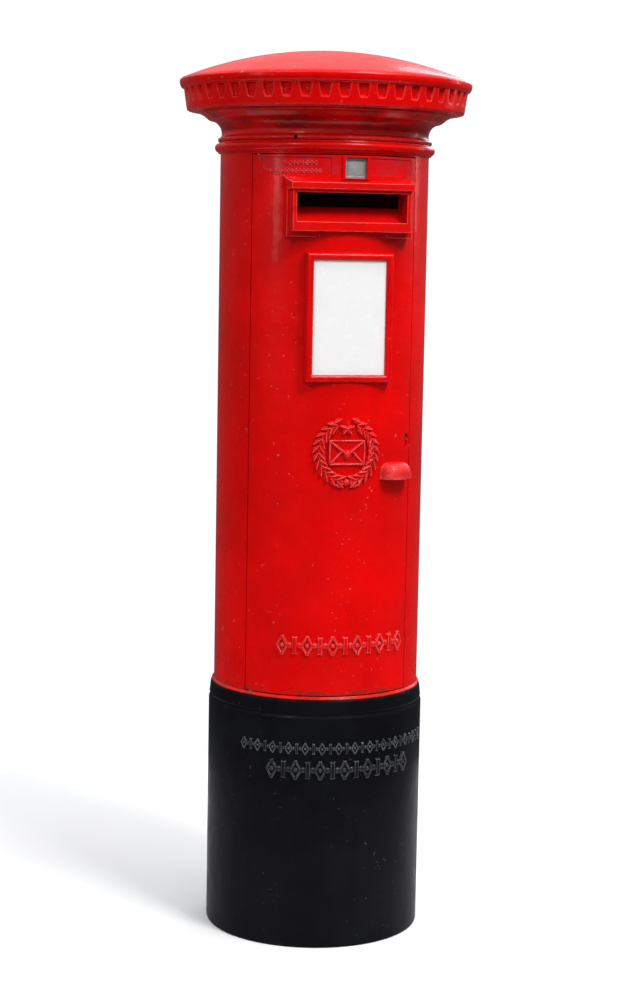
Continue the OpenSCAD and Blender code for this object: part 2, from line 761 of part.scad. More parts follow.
module lock_case() color(steel)
  around(key_angle) difference() {
    union() {
      difference() {
        block(case_x0, case_x1, case_back, pad_face, key_z - case_h / 2, key_z + case_h / 2);
        block(case_x0 + case_wall, case_x1 - case_wall, case_back - 1, pad_face - 3,
          key_z - case_h / 2 + case_wall, key_z + case_h / 2 - case_wall);
      }
      lock_corners() radial(0, 0, case_back, pad_face, 4.5);
    }
    lock_corners() radial(0, 0, case_back - 1, pad_face + 1, 2);
    radial(0, key_z, case_back - 1, pad_face + 1, curtain_r + fit);
    lock_bolt_way(0, case_x1 + 1, gap);
  }

module lock_cover() color(steel)
  around(key_angle) difference() {
    block(case_x0, case_x1, case_back - cover_t, case_back, key_z - case_h / 2, key_z + case_h / 2);
    lock_corners() radial(0, 0, case_back - 9, pad_face, 2);
  }

module lock_screws() color(steel)
  around(key_angle) lock_corners() {
    radial(0, 0, case_back - cover_t, pad_face + 6, 2);
    radial(0, 0, case_back - cover_t - 2.2, case_back - cover_t, 4);
  }

module lever_pivot() color(steel)
  around(key_angle) radial(lever_x, key_z + lever_z, case_back, pad_face - 3, 3);

module lever_pack() color(brass)
  around(key_angle) for (i = [0 : levers - 1])
    translate([0, -(lever_face - i * lever_pitch), key_z]) difference() {
      slab_y(lever_t) polygon([
        [lever_x - 6, 6.9], [4, 7.4], [4, 15], [-26, 20], [lever_x - 6, 18]
      ]);
      translate([lever_x, 9, lever_z]) rotate([90, 0, 0]) cylinder(r = 3 + fit, h = 18);
    }

module lever_springs() color(brass)
  around(key_angle) for (i = [0 : levers - 1])
    translate([0, -(lever_face - i * lever_pitch), key_z])
      slab_y(lever_t * 0.8) polygon([
        [-29, 19.8], [-26, 20.3], [-9, case_h / 2 - case_wall - 0.8],
        [case_x1 - 9.5, case_h / 2 - case_wall - 0.8], [case_x1 - 9.5, case_h / 2 - case_wall],
        [-10, case_h / 2 - case_wall], [-26, 21.2], [-29, 20.6]
      ]);

module lock_bolt() color(brass)
  around(key_angle) lock_bolt_way(lever_x + 6, case_x1 - 1, 0);

module lock_curtain() color(brass)
  around(key_angle) difference() {
    radial(0, key_z, case_back + gap, body_r - 3.5 - gap, curtain_r);
    block(-2, 2, case_back, body_r, key_z - curtain_r - 1, key_z - 1);
  }

module lock_keeper() color(steel)
  around(key_angle) intersection() {
    difference() {
      block(keeper_x0, keeper_x1, pad_face - 18, body_r, key_z - 2, key_z + 28);
      lock_bolt_way(keeper_x0 - 1, keeper_x0 + bolt_throw + 2, 2 * gap);
      for (z = [4, 22]) radial(keeper_x1 - 5, key_z + z, 0, body_r, 2.5);
    }
    cylinder(r = bore_r, h = top_z);
  }

module keeper_screws() color(steel)
  around(key_angle) for (z = [4, 22]) {
    radial(keeper_x1 - 5, key_z + z, pad_face - 18, chord(bore_r, keeper_x1) - 1, 2.5);
    radial(keeper_x1 - 5, key_z + z, pad_face - 20, pad_face - 18, 4.5);
  }

plinth();
base_flange_bolts();
carcass_shell();
cap();
cap_flange_bolts();
cap_flange_nuts();
cap_set_screws();
letter_floor();
floor_screws();
guard_rails();
guard_rods();
guard_brackets();
guard_screws();
lock_keeper();
keeper_screws();
hinge_bushes();
door_panel();
pivot_pins();
aperture_surround();
surround_screws();
posting_chute();
chute_screws();
notice_frame();
notice_frame_screws();
notice_plate();
notice_backing();
button_studs();
upper_turn_button();
lower_turn_button();
tab_frame();
tab_plate();
tab_clip();
tab_clip_screws();
door_pull();
pull_screws();
emblem_badge();
lock_case();
lock_cover();
lock_screws();
lever_pivot();
lever_pack();
lever_springs();
lock_bolt();
lock_curtain();
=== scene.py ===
"""Looks of the cast iron pillar mailbox: visible castings, paint, floor, lights and camera."""
import json
import math

import bmesh
import bpy
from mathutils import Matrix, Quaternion, Vector


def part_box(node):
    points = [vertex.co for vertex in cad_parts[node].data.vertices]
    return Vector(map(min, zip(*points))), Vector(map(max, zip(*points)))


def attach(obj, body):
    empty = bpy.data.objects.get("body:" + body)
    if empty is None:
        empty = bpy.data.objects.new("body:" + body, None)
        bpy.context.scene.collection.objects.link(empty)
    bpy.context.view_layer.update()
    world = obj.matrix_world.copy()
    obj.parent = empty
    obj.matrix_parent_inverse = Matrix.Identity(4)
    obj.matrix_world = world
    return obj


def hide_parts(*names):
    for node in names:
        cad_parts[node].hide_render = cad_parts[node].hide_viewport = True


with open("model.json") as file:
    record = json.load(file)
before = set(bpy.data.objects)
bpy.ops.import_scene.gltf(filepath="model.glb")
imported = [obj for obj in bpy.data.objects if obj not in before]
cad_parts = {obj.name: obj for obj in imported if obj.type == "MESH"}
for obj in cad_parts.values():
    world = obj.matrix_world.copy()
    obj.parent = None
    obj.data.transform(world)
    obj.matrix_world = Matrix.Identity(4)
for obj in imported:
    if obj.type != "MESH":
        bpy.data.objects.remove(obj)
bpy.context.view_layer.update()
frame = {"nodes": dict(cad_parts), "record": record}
NODES = frame["nodes"]
MM = 0.001


def node_box_mm(node):
    """Lowest and highest corner of a CAD node, in millimetres."""
    low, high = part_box(node)
    return [c / MM for c in low], [c / MM for c in high]


# Driving sizes, in millimetres, and the levels that the CAD nodes give
BODY_R = 190.5
BODY_WALL = 15
SEAM = 2
HINGE_ANGLE, LOCK_ANGLE = -56.6, 43.6
PLINTH_PROUD = 9.2
FLANGE_IN, FLANGE_T = 143.5, 12
PANEL_SINK = 1.6
SET_SCREW_UP, SET_SCREW_R = 5, 2.5
SET_SCREW_ANGLES = (-30, 90, 210)
_, plinth_high = node_box_mm("plinth")
shell_low, shell_high = node_box_mm("carcass_shell")
door_low, door_high = node_box_mm("door_panel")
_, cap_high = node_box_mm("cap")
surround_low, surround_high = node_box_mm("aperture_surround")
notice_low, notice_high = node_box_mm("notice_frame")
pull_low, pull_high = node_box_mm("door_pull")
emblem_low, emblem_high = node_box_mm("emblem_badge")
curtain_low, curtain_high = node_box_mm("lock_curtain")
tab_low, tab_high = node_box_mm("tab_frame")
bush_low, bush_high = node_box_mm("hinge_bushes")
BODY_Z, CAP_Z, TOP_Z = shell_low[2], shell_high[2], cap_high[2]
DOOR_Z0, DOOR_Z1 = door_low[2], door_high[2]
CAP_R = cap_high[0]
BORE_R = BODY_R - BODY_WALL
DOOR_IN = BODY_R - 11
STOP_R = DOOR_IN - 1
STOP_IN = STOP_R - 11
SEAM_ANGLE = math.degrees(SEAM / 2 / BODY_R)


# ---------------------------------------------------------------- shapes
def polar(radius, degrees, z):
    """A point at a distance and an angle from the front, toward +X, in metres."""
    a = math.radians(degrees)
    return Vector((radius * math.sin(a), -radius * math.cos(a), z)) * MM


def directions(degrees):
    """Unit vectors across and outward at an angle from the front."""
    turn = math.radians(degrees)
    return Vector((math.cos(turn), math.sin(turn), 0)), Vector((math.sin(turn), -math.cos(turn), 0))


def circle_points(radius, angles):
    """Points round a circle at the given angles, in degrees."""
    return [(radius * math.cos(math.radians(a)), radius * math.sin(math.radians(a))) for a in angles]


def make_piece(name, bm, material, body, replaces=(), smooth=30):
    """Turns a bmesh into a piece that rides on a body and stands for CAD nodes."""
    bmesh.ops.recalc_face_normals(bm, faces=bm.faces)
    mesh = bpy.data.meshes.new(name)
    bm.to_mesh(mesh)
    bm.free()
    piece = bpy.data.objects.new(name, mesh)
    bpy.context.scene.collection.objects.link(piece)
    mesh.materials.append(material)
    mesh.shade_smooth()
    mesh.set_sharp_from_angle(angle=math.radians(smooth))
    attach(piece, body)
    if replaces:
        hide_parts(*replaces)
    return piece


def soft_edges(piece, width, segments=3, angle=35):
    """Rounds a piece's edges as thick paint does."""
    bevel = piece.modifiers.new("soft_edges", "BEVEL")
    bevel.width = width * MM
    bevel.segments = segments
    bevel.limit_method = "ANGLE"
    bevel.angle_limit = math.radians(angle)
    bevel.harden_normals = False
    piece.data.shade_smooth()


def rounded_path(points, steps=5):
    """A path of (radius, z, corner) with an arc of about that radius at each corner."""
    path = []
    for i, (x, y, corner) in enumerate(points):
        here = Vector((x, y))
        if corner == 0 or i in (0, len(points) - 1):
            path.append(here)
            continue
        before = Vector(points[i - 1][:2]) - here
        after = Vector(points[i + 1][:2]) - here
        reach = min(corner, before.length * 0.48, after.length * 0.48)
        start = here + before.normalized() * reach
        end = here + after.normalized() * reach
        for k in range(steps + 1):
            t = k / steps
            path.append(start * (1 - t) ** 2 + here * 2 * t * (1 - t) + end * t * t)
    return path


def arc(cx, cy, radius, start, end, steps=12):
    """Points of an arc between two angles, with no rounding of their own."""
    turn = (end - start) / steps
    angles = [math.radians(start + turn * k) for k in range(steps + 1)]
    return [(cx + radius * math.cos(a), cy + radius * math.sin(a), 0) for a in angles]


def revolve(bm, path, angles, closed=True):
    """Sweeps a path of (radius, z) through a list of angles. A path point may be on the axis."""
    rings = [[bm.verts.new(polar(p[0], a, p[1])) for p in path] for a in angles]
    spans = range(len(angles)) if closed else range(len(angles) - 1)
    for i in spans:
        here, there = rings[i], rings[(i + 1) % len(angles)]
        for k in range(len(path) - 1):
            bm.faces.new((here[k], there[k], there[k + 1], here[k + 1]))
    return rings


def full_turn(count):
    """Angles of a whole turn, in degrees."""
    return [i * 360 / count for i in range(count)]


def spread(start, end, step):
    """Evenly spaced values from start to end, at most step apart."""
    count = max(1, math.ceil(abs(end - start) / step))
    return [start + (end - start) * i / count for i in range(count + 1)]


def add_solid(bm, points, faces):
    """A solid from its corners and the corners of each face."""
    verts = [bm.verts.new(p) for p in points]
    for face in faces:
        bm.faces.new([verts[i] for i in face])


BOX_FACES = [(0, 1, 3, 2), (4, 6, 7, 5), (0, 4, 5, 1), (2, 3, 7, 6), (0, 2, 6, 4), (1, 5, 7, 3)]
BAR_FACES = [(3, 2, 1, 0), (4, 5, 6, 7), (0, 1, 5, 4), (1, 2, 6, 5), (2, 3, 7, 6), (3, 0, 4, 7)]


def add_block(bm, x0, x1, d0, d1, z0, z1):
    """A box given by its sides, its distances in front of the axis and its levels."""
    points = [Vector((x, -d, z)) * MM for x in (x0, x1) for d in (d0, d1) for z in (z0, z1)]
    add_solid(bm, points, BOX_FACES)


def add_ring_sector(bm, r0, r1, a0, a1, z0, z1):
    """A closed part of a ring."""
    angles = spread(a0, a1, 2.5)
    loop = [(r0, z0), (r1, z0), (r1, z1), (r0, z1)]
    rings = [[bm.verts.new(polar(r, a, z)) for r, z in loop] for a in angles]
    for here, there in zip(rings, rings[1:]):
        for k in range(4):
            bm.faces.new((here[k], there[k], there[(k + 1) % 4], here[(k + 1) % 4]))
    bm.faces.new(rings[0])
    bm.faces.new(rings[-1])


def fuse(piece, voxel, rounds=2):
    """Melts overlapping solids into one casting with soft edges, and applies it."""
    remesh = piece.modifiers.new("fuse", "REMESH")
    remesh.mode = "VOXEL"
    remesh.voxel_size = voxel * MM
    smooth = piece.modifiers.new("paint", "SMOOTH")
    smooth.factor = 0.5
    smooth.iterations = rounds
    bake_modifiers(piece)
    piece.data.shade_smooth()


def bake_modifiers(piece):
    """Replaces a piece's mesh with what its modifiers make of it."""
    evaluated = piece.evaluated_get(bpy.context.evaluated_depsgraph_get())
    made = bpy.data.meshes.new_from_object(evaluated)
    old = piece.data
    piece.modifiers.clear()
    piece.data = made
    made.name = old.name
    bpy.data.meshes.remove(old)


# ---------------------------------------------------------------- materials
class Shader:
    """Builds one procedural material node by node."""

    def __init__(self, name):
        self.material = bpy.data.materials.new(name)
        self.material.use_nodes = True
        self.tree = self.material.node_tree
        self.tree.nodes.clear()
        self.out = self.tree.nodes.new("ShaderNodeOutputMaterial")
        self.bsdf = self.tree.nodes.new("ShaderNodeBsdfPrincipled")
        self.link(self.bsdf.outputs[0], self.out.inputs[0])
        self.place = self.tree.nodes.new("ShaderNodeTexCoord").outputs["Object"]

    def link(self, output, socket):
        self.tree.links.new(output, socket)

    def set(self, **values):
        for key, value in values.items():
            self.bsdf.inputs[key.replace("_", " ")].default_value = value

    def stretched(self, x, y, z):
        node = self.tree.nodes.new("ShaderNodeMapping")
        node.inputs["Scale"].default_value = (x, y, z)
        self.link(self.place, node.inputs[0])
        return node.outputs[0]

    def noise(self, scale, detail=4, rough=0.55, place=None):
        node = self.tree.nodes.new("ShaderNodeTexNoise")
        node.inputs["Scale"].default_value = scale
        node.inputs["Detail"].default_value = detail
        node.inputs["Roughness"].default_value = rough
        self.link(place or self.place, node.inputs["Vector"])
        return node.outputs[0]

    def cells(self, scale, place=None):
        node = self.tree.nodes.new("ShaderNodeTexVoronoi")
        node.inputs["Scale"].default_value = scale
        self.link(place or self.place, node.inputs["Vector"])
        return node.outputs["Distance"]

    def ramp(self, value, low, high, from_value=0.0, to_value=1.0):
        """Maps low..high of a value to from_value..to_value, clamped."""
        node = self.tree.nodes.new("ShaderNodeMapRange")
        for i, number in enumerate((low, high, from_value, to_value)):
            node.inputs[i + 1].default_value = number
        self.link(value, node.inputs[0])
        return node.outputs[0]

    def math(self, kind, a, b):
        node = self.tree.nodes.new("ShaderNodeMath")
        node.operation = kind
        for socket, value in zip(node.inputs, (a, b)):
            if isinstance(value, (int, float)):
                socket.default_value = value
            else:
                self.link(value, socket)
        return node.outputs[0]

    def mix(self, share, a, b):
        node = self.tree.nodes.new("ShaderNodeMix")
        node.data_type = "RGBA"
        self.link(share, node.inputs[0])
        for socket, value in ((node.inputs[6], a), (node.inputs[7], b)):
            if isinstance(value, tuple):
                socket.default_value = (*value, 1)
            else:
                self.link(value, socket)
        return node.outputs[2]

    def bump(self, height, strength, distance, under=None):
        node = self.tree.nodes.new("ShaderNodeBump")
        node.inputs["Strength"].default_value = strength
        node.inputs["Distance"].default_value = distance * MM
        self.link(height, node.inputs["Height"])
        if under:
            self.link(under, node.inputs["Normal"])
        return node.outputs[0]

    def edges(self, low, high):
        """How far a point stands out on an edge."""
        node = self.tree.nodes.new("ShaderNodeNewGeometry")
        return self.ramp(node.outputs["Pointiness"], low, high)

    def height(self):
        node = self.tree.nodes.new("ShaderNodeSeparateXYZ")
        self.link(self.place, node.inputs[0])
        return node.outputs[2]


def old_gloss_paint(name, main, dark, chip_and_glint_color, rough, chips=1.0, gloss=0.12, edge=0.0, lumps=1.0,
                    dirt_and_shade_bands=(), shine=0.13):
    """Many coats of brushed gloss paint on rough castings, with chips, runs, dirt and rubbed edges, edges
    lightened as a painted highlight on some castings, and height bands of dirt and of painted shade.
    """
    s = Shader(name)
    s.set(Metallic=0.0, Coat_Weight=gloss, Coat_Roughness=0.06, IOR=1.5)
    s.bsdf.inputs["Specular IOR Level"].default_value = shine
    tone = s.noise(5.0, 5, 0.6)
    color = s.mix(s.ramp(tone, 0.35, 0.7), dark, main)
    runs = s.noise(38.0, 3, 0.5, s.stretched(1, 1, 0.07))
    color = s.mix(s.ramp(runs, 0.56, 0.72, 0.0, 0.35), color, dark)
    spots = s.math("MULTIPLY", s.ramp(s.cells(62.0), 0.10, 0.06), s.ramp(s.noise(9.0, 3), 0.52, 0.58))
    flakes = s.math("MULTIPLY", s.ramp(s.noise(95.0, 3), 0.68, 0.71), s.ramp(s.noise(6.0, 4), 0.5, 0.6))
    wear_and_glint = s.math("MAXIMUM", spots, flakes)
    # Edges lightened toward the chip colour: rubbed wear, and on the cap and the plinth's relief also a
    # painted highlight.
    if edge:
        rubbed_and_glint = s.math("MULTIPLY", s.edges(0.507, 0.54), s.ramp(s.noise(60.0, 4), 0.35, 0.6, 0.25, 1.0))
        wear_and_glint = s.math("MAXIMUM", wear_and_glint, s.math("MULTIPLY", rubbed_and_glint, edge))
    wear_and_glint = s.math("MULTIPLY", wear_and_glint, chips)
    color = s.mix(s.math("MULTIPLY", wear_and_glint, 0.75), color, chip_and_glint_color)
    grime = s.math("MULTIPLY", s.ramp(s.noise(22.0, 5, 0.7), 0.55, 0.68),
                   s.ramp(s.noise(4.0, 2), 0.45, 0.6))
    color = s.mix(s.math("MULTIPLY", grime, 0.5), color, dark)
    # Height bands mixed toward a darker tint: dirt at the foot of the body and the door, painted shade
    # under the cap's overhang and along the door's top.
    for low, high, size, tint in dirt_and_shade_bands:
        height = s.height()
        band = s.math("MULTIPLY", s.ramp(height, low, low + 0.003), s.ramp(height, high, high - 0.003))
        band = s.math("MULTIPLY", band, s.ramp(s.noise(size, 5, 0.7), 0.42, 0.62))
        color = s.mix(s.math("MULTIPLY", band, 0.75), color, tint)
    s.link(color, s.bsdf.inputs["Base Color"])
    patches = s.ramp(s.noise(9.0, 5, 0.65), 0.3, 0.75, rough - 0.07, rough + 0.12)
    s.link(s.math("ADD", patches, s.math("MULTIPLY", wear_and_glint, 0.2)), s.bsdf.inputs["Roughness"])
    casting = s.bump(s.noise(26.0, 3, 0.5), 0.5 * lumps, 2.0)
    brush = s.bump(s.noise(210.0, 3, 0.5, s.stretched(1, 1, 0.12)), 0.22, 0.6, casting)
    grit = s.bump(s.noise(420.0, 2, 0.5), 0.08, 0.4, brush)
    chipped = s.bump(wear_and_glint, -0.6, 0.5, grit)
    s.link(chipped, s.bsdf.inputs["Normal"])
    s.link(brush, s.bsdf.inputs["Coat Normal"])
    return s.material


def bare_metal(name, color, dark, rough, metallic=1.0, grain=260.0):
    """Worn metal with fine grain, stains and dull patches."""
    s = Shader(name)
    s.set(Metallic=metallic)
    stain = s.ramp(s.noise(45.0, 6, 0.7), 0.42, 0.68)
    s.link(s.mix(stain, color, dark), s.bsdf.inputs["Base Color"])
    fine = s.noise(grain, 4, 0.6)
    s.link(s.ramp(fine, 0.3, 0.7, rough - 0.08, rough + 0.14), s.bsdf.inputs["Roughness"])
    s.link(s.bump(fine, 0.25, 0.3), s.bsdf.inputs["Normal"])
    return s.material


def white_enamel():
    """Vitreous enamel: nearly flat white with a faint ripple."""
    s = Shader("white_enamel")
    s.set(Coat_Weight=0.4, Coat_Roughness=0.05)
    s.link(s.mix(s.ramp(s.noise(30.0, 4), 0.3, 0.8), (0.86, 0.86, 0.86), (0.82, 0.82, 0.81)),
           s.bsdf.inputs["Base Color"])
    s.link(s.ramp(s.noise(60.0, 3), 0.3, 0.7, 0.2, 0.3), s.bsdf.inputs["Roughness"])
    s.link(s.bump(s.noise(24.0, 2), 0.12, 0.8), s.bsdf.inputs["Normal"])
    return s.material


def plywood():
    """Varnished board with long grain."""
    s = Shader("plywood")
    grain = s.noise(90.0, 6, 0.7, s.stretched(1, 1, 0.06))
    s.link(s.mix(s.ramp(grain, 0.35, 0.65), (0.42, 0.26, 0.12), (0.24, 0.13, 0.05)),
           s.bsdf.inputs["Base Color"])
    s.link(s.ramp(grain, 0.3, 0.7, 0.35, 0.55), s.bsdf.inputs["Roughness"])
    s.link(s.bump(grain, 0.3, 0.4), s.bsdf.inputs["Normal"])
    return s.material


FRESH, FADED, PRIMER = (0.78, 0.0008, 0.0006), (0.56, 0.0005, 0.0005), (0.8, 0.09, 0.09)
RED = old_gloss_paint(
    "red_paint", FRESH, FADED, PRIMER, 0.27,
    dirt_and_shade_bands=[(BODY_Z * MM - 0.001, BODY_Z * MM + 0.009, 60.0, (0.16, 0.02, 0.01))])
# Painted shade: the band along the door's top darkens the sunk panels beneath the necking bead; the band at
# its foot is dirt.
DOOR_RED = old_gloss_paint(
    "red_paint_door", FRESH, FADED, PRIMER, 0.3,
    dirt_and_shade_bands=[(DOOR_Z1 * MM - 0.036, DOOR_Z1 * MM + 0.002, 30.0, (0.46, 0.018, 0.03)),
            (DOOR_Z0 * MM - 0.002, DOOR_Z0 * MM + 0.01, 50.0, (0.14, 0.02, 0.01))])
WORN_RED = old_gloss_paint(
    "red_paint_worn", (0.78, 0.0020, 0.0018), (0.5, 0.0008, 0.0008), (0.85, 0.17, 0.17), 0.3, edge=0.9)
# Painted shade: a dark band over the cove and soffit beneath the cap's overhang. Pink edges are partly wear
# and partly a painted highlight on the bead and flute sills.
CAP_RED = old_gloss_paint(
    "red_paint_cap", FRESH, FADED, (0.82, 0.13, 0.13), 0.26, gloss=0.16, edge=0.4,
    dirt_and_shade_bands=[(CAP_Z * MM + 0.018, CAP_Z * MM + 0.058, 14.0, (0.2, 0.002, 0.003))])
# Painted shade: red paint darkened to near black for the grub screws deep in their holes.
SHADED_HOLE_RED = old_gloss_paint(
    "red_paint_shaded_hole", (0.035, 0.002, 0.002), (0.012, 0.001, 0.001), (0.08, 0.04, 0.03), 0.6)
BLACK = old_gloss_paint(
    "black_paint", (0.0062, 0.0066, 0.0085), (0.003, 0.003, 0.0042), (0.04, 0.042, 0.05), 0.34,
    gloss=0.01, shine=0.03)
# Painted highlight: pale blue-grey on the edges of the plinth's relief; the scattered chips are wear.
WORN_GLINT_BLACK = old_gloss_paint(
    "black_paint_worn_glint", (0.005, 0.0055, 0.007), (0.002, 0.002, 0.003), (0.16, 0.17, 0.2), 0.3,
    gloss=0.16, edge=0.8)
CHUTE_RED = old_gloss_paint(
    "chute_red", (0.72, 0.002, 0.0015), (0.55, 0.001, 0.001), (0.7, 0.05, 0.05), 0.45, 0.3, 0.1)
ENAMEL = white_enamel()
TAB_METAL = bare_metal("tab_metal", (0.36, 0.4, 0.4), (0.26, 0.29, 0.29), 0.5, 0.6)
ZINC = bare_metal("zinc_steel", (0.5, 0.52, 0.53), (0.3, 0.31, 0.32), 0.45)
BRASS = bare_metal("brass", (0.55, 0.38, 0.13), (0.22, 0.13, 0.05), 0.35)
STEEL = bare_metal("steel", (0.34, 0.33, 0.32), (0.13, 0.08, 0.05), 0.45)
PLY = plywood()
BY_SLOT = {
    "red_paint": RED, "black_paint": BLACK, "white_enamel": ENAMEL, "tab_metal": TAB_METAL,
    "zinc_steel": ZINC, "brass": BRASS, "steel": STEEL, "plywood": PLY,
}


def dress_cad_nodes():
    """Gives every carried-over CAD node its slot's material and softened edges."""
    slots = {row["node"]: row["material_slot"] for row in frame["record"]["subparts"]}
    for name, obj in NODES.items():
        material = CHUTE_RED if name == "posting_chute" else BY_SLOT[slots[name]]
        obj.data.materials.clear()
        obj.data.materials.append(material)
        weld = obj.modifiers.new("weld", "WELD")
        weld.merge_threshold = 0.01 * MM
        bevel = obj.modifiers.new("soft_edges", "BEVEL")
        bevel.width = 0.35 * MM
        bevel.segments = 2
        bevel.limit_method = "ANGLE"
        bevel.angle_limit = math.radians(40)


# ---------------------------------------------------------------- castings
def plinth():
    """Black plinth: skirt, chamfered shoulder and rolled collar, hollow below."""
    r = BODY_R + PLINTH_PROUD
    top = plinth_high[2]
    shoulder = top - 34
    path = rounded_path([
        (140, 12, 0), (140, 0.2, 1), (r - 2, 0, 2), (r, 3, 2),
        (r, shoulder, 1.2), (r - 2.6, shoulder + 5, 1),
        (r - 2.8, shoulder + 8.5, 0.8), (r - 1.2, shoulder + 10, 1), (r - 3.4, top - 4, 3), (r - 6, top, 2),
        (BODY_R - 4, top, 0), (FLANGE_IN, top, 0), (FLANGE_IN, top - FLANGE_T, 0),
        (r - 24, top - 13, 4), (r - 16, top - 22, 4),
        (r - 16, 12, 0), (140, 12, 0),
    ])
    bm = bmesh.new()
    revolve(bm, path, full_turn(256))
    bmesh.ops.remove_doubles(bm, verts=bm.verts, dist=0.002 * MM)
    return make_piece("plinth_casting", bm, BLACK, "post", ["plinth"])


def body():
    """Red body: foot cove, doorway with its stops, necking bead and inside flanges."""
    r, z0, z1 = BODY_R, BODY_Z, CAP_Z
    way0, way1 = DOOR_Z0 - SEAM, DOOR_Z1 + SEAM
    neck = z1 - 9
    foot = rounded_path([(BORE_R, z0, 0), (r + 4, z0, 1), (r + 4, z0 + 1.5, 1),
                         (r + 0.8, z0 + 4, 1.5), (r, way0, 0)])
    head = [(r, way1, 0), (r, neck - 10.5, 1), (r + 4.5, neck - 10, 1), (r + 4.6, neck - 7.5, 0.5)]
    head += arc(r + 2.2, neck, 8.3, -62, 62, 14)
    head += [(r + 3, z1 - 1.5, 0.5), (r + 2.5, z1, 0), (BORE_R, z1, 0)]
    head = rounded_path(head)
    left, right = HINGE_ANGLE - SEAM_ANGLE, LOCK_ANGLE + SEAM_ANGLE
    outside = spread(right, left + 360, 1.25)
    inside = spread(left, right, 1.25)
    wall = foot + spread_wall(r, way0, way1) + head + [Vector((BORE_R, z0))]
    bm = bmesh.new()
    revolve(bm, wall, outside, closed=False)
    revolve(bm, foot + [Vector((BORE_R, way0)), Vector((BORE_R, z0))], inside, closed=False)
    revolve(bm, [Vector((BORE_R, z1)), Vector((BORE_R, way1))] + head, inside, closed=False)
    for angle in (left, right):
        corners = [(BORE_R, way0), (r, way0), (r, way1), (BORE_R, way1)]
        add_solid(bm, [polar(radius, angle, z) for radius, z in corners], [(0, 1, 2, 3)])
    bmesh.ops.remove_doubles(bm, verts=bm.verts, dist=0.01 * MM)
    stop = math.degrees(8 / r)
    swing_room = facing(bush_low, bush_high) + 3.6
    for low, high in ((z0 + FLANGE_T, way0 + 8), (way1 - 8, z1 - FLANGE_T)):
        add_ring_sector(bm, STOP_IN, BORE_R + 1, swing_room, right, low, high)
    for low, high in ((way0 + 8, curtain_low[2] - 33), (curtain_high[2] + 33, way1 - 8)):
        add_ring_sector(bm, STOP_IN, STOP_R, LOCK_ANGLE - stop, LOCK_ANGLE + 5, low, high)
    for low in (z0, z1 - FLANGE_T):
        path = [(BORE_R + 0.5, low), (BORE_R + 0.5, low + FLANGE_T), (FLANGE_IN, low + FLANGE_T),
                (FLANGE_IN, low), (BORE_R + 0.5, low)]
        revolve(bm, [Vector(p) for p in path], full_turn(96))
    return make_piece("body_casting", bm, RED, "post", ["carcass_shell"])


def spread_wall(r, z0, z1):
    """Points up the plain wall between two levels, both left out."""
    return [Vector((r, z)) for z in spread(z0, z1, 60)[1:-1]]


FLUTES = 48
FLUTE_DEEP = 6.2
# Levels of the frieze's rings as shares of its height, crowded where the flutes begin
FRIEZE_ROWS = [0, 0.12, 0.22, 0.26, 0.285, 0.31, 0.335, 0.36, 0.385, 0.41, 0.45, 0.55, 0.7, 0.85,
               0.985, 1.0]


def cap():
    """Domed cap: bead, cove, soffit, fluted frieze, ovolo rim and dome, hollow below."""
    r, z = BODY_R, CAP_Z
    soffit = z + 57
    rim = soffit + 39
    dome = rim + 17
    rise = TOP_Z - dome
    sphere = (CAP_R ** 2 + rise ** 2) / (2 * rise)
    half = math.degrees(math.asin(CAP_R / sphere))
    path = [(BORE_R - 30, z, 0), (r - 1, z, 0.5)]
    path += arc(r + 0.5, z + 5, 4.5, -75, 80, 10)
    path += [(r - 1.2, z + 12, 3), (r - 1.8, z + 18, 2)]
    path += arc(r + 22.5, z + 16.5, 24, 180, 97, 12)
    path += [(r + 22.5, z + 41, 2), (r + 32, z + 49, 3), (r + 38.5, z + 52, 1.5), (r + 39, soffit - 1, 1),
             (r + 42, soffit + 1, 1), (CAP_R - 15, soffit, 1.5), (CAP_R - 13.5, soffit + 2.5, 1.2)]
    under = rounded_path(path)
    frieze = [Vector((CAP_R - 13.2 + 5 * t, soffit + 4 + 34 * t)) for t in FRIEZE_ROWS]
    crown = [(CAP_R - 8.2, rim - 0.6, 0), (CAP_R - 7.5, rim + 0.4, 0.4), (CAP_R - 3, rim + 2.5, 2),
             (CAP_R - 0.6, rim + 8, 2), (CAP_R, dome - 2.2, 1.5), (CAP_R - 2.5, dome + 0.3, 1.5)]
    crown += arc(0, TOP_Z - sphere, sphere, 90 - half * 0.985, 90, 26)
    over = rounded_path(crown)
    inner = rounded_path([(0, TOP_Z - 11, 0), (120, TOP_Z - 24, 30), (CAP_R - 24, dome - 8, 12),
                          (CAP_R - 30, rim, 6), (BORE_R + 4, soffit, 6), (BORE_R, soffit - 10, 6),
                          (BORE_R, z + FLANGE_T, 0), (FLANGE_IN, z + FLANGE_T, 0), (FLANGE_IN, z, 0),
                          (BORE_R - 30, z, 0)])
    loop = under + frieze + over + inner
    start = len(under)
    bm = bmesh.new()
    angles = flute_angles()
    rings = revolve(bm, loop, angles)
    for ring, angle in zip(rings, angles):
        for k, t in enumerate(FRIEZE_ROWS):
            depth = FLUTE_DEEP * flute_mask(angle, t) * smooth_step((t - 0.27) / 0.13)
            point = frieze[k]
            ring[start + k].co = polar(point.x - depth, angle, point.y)
    bmesh.ops.remove_doubles(bm, verts=bm.verts, dist=0.004 * MM)
    piece = make_piece("cap_casting", bm, CAP_RED, "post", ["cap"], smooth=40)
    circle = circle_points(3.6, range(0, 360, 20))
    for angle in SET_SCREW_ANGLES:
        cut_through(piece, circle, angle, z + SET_SCREW_UP, r - 12, r + 12)
    return piece


